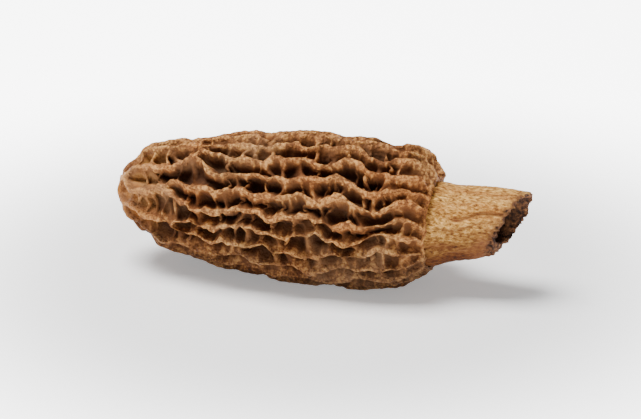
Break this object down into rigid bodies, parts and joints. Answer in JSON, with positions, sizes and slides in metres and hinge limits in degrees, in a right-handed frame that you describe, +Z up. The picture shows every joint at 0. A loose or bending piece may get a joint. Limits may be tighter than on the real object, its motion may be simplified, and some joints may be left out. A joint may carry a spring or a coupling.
{
  "type": "morel mushroom",
  "caption": "Dried morel mushroom lying on its side, with a hollow cap covered by a raised net of ribs and pits, and a short hollow stem cut off at a slant.",
  "frame": {"origin": "middle of the mushroom's bounding box, on the surface that it lies on", "axes": "+X along the mushroom from the cap's tip to the cut end of the stem, +Z up, +Y to the side"},
  "size_m": [0.069, 0.0254, 0.0246],
  "materials": {
    "cap": "dry, matt brown skin, lighter on the crests and dark in the pits",
    "stem": "dry, matt cream skin with a fine brown grain, dark at the cut"
  },
  "bodies": {
    "root": {"cap": "cap", "stem": "stem"}
  },
  "joints": []
}
